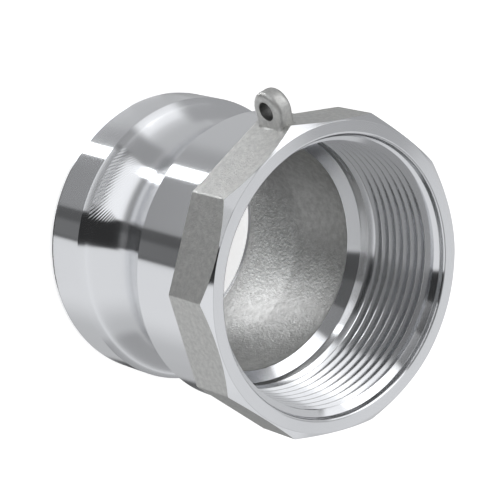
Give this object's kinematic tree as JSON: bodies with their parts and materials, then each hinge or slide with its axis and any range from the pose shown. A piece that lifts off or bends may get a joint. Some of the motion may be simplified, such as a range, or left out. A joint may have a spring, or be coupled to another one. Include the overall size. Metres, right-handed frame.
{
  "type": "cam and groove coupling",
  "caption": "Male cam and groove hose adapter in cast aluminium, with a turned cam groove, flats for a wrench, a small lug for a cord and a female taper pipe thread.",
  "frame": {"origin": "on the axis, in the plane of the nose's end face, on which the adapter stands", "axes": "+Z along the axis towards the thread's mouth, +X through the lug"},
  "size_m": [0.0764, 0.066, 0.0595],
  "materials": {
    "adapter_body": "cast, turned bright on the nose, groove, collar and thread"
  },
  "bodies": {
    "root": {"adapter_body": "adapter_body"}
  },
  "joints": []
}
